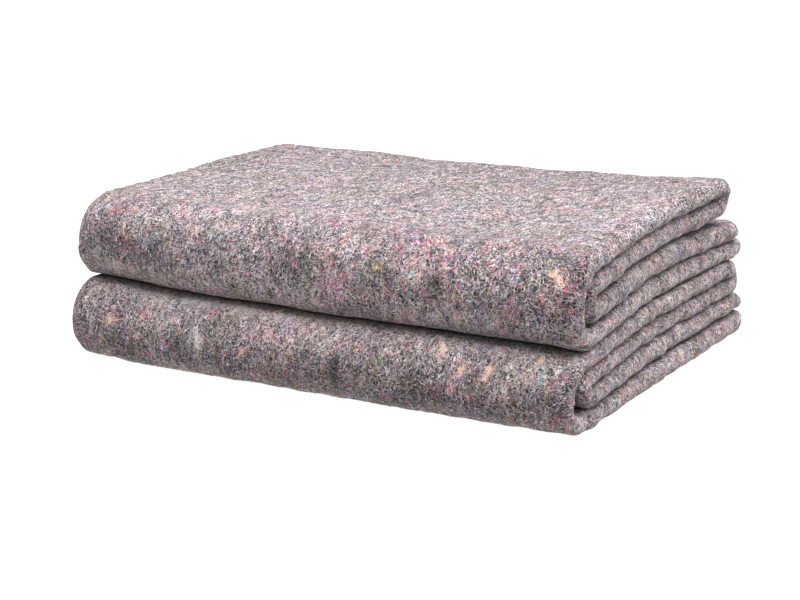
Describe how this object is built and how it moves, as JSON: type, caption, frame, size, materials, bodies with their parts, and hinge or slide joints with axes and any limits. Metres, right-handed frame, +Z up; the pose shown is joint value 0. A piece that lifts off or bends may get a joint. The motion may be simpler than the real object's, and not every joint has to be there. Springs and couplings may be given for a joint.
{
  "type": "moving blanket stack",
  "caption": "Moving blankets of mottled grey recycled-fibre felt, folded in half both ways and stacked, with smooth round front folds and layered side folds, for padding furniture.",
  "frame": {"origin": "middle of the stack's footprint, on the surface that the lower blanket lies on", "axes": "+X along the long front folds, towards the closed side folds of the bands; -Y towards the smooth front folds; +Z up"},
  "size_m": [0.5066, 0.4116, 0.1597],
  "materials": {
    "felt_lower": "matt needle-punched felt of recycled fibres, mottled grey with coloured specks",
    "felt_upper": "matt needle-punched felt of recycled fibres, mottled grey with coloured specks, a little paler"
  },
  "bodies": {
    "root": {"blanket_lower": "felt_lower", "blanket_upper": "felt_upper"}
  },
  "joints": []
}
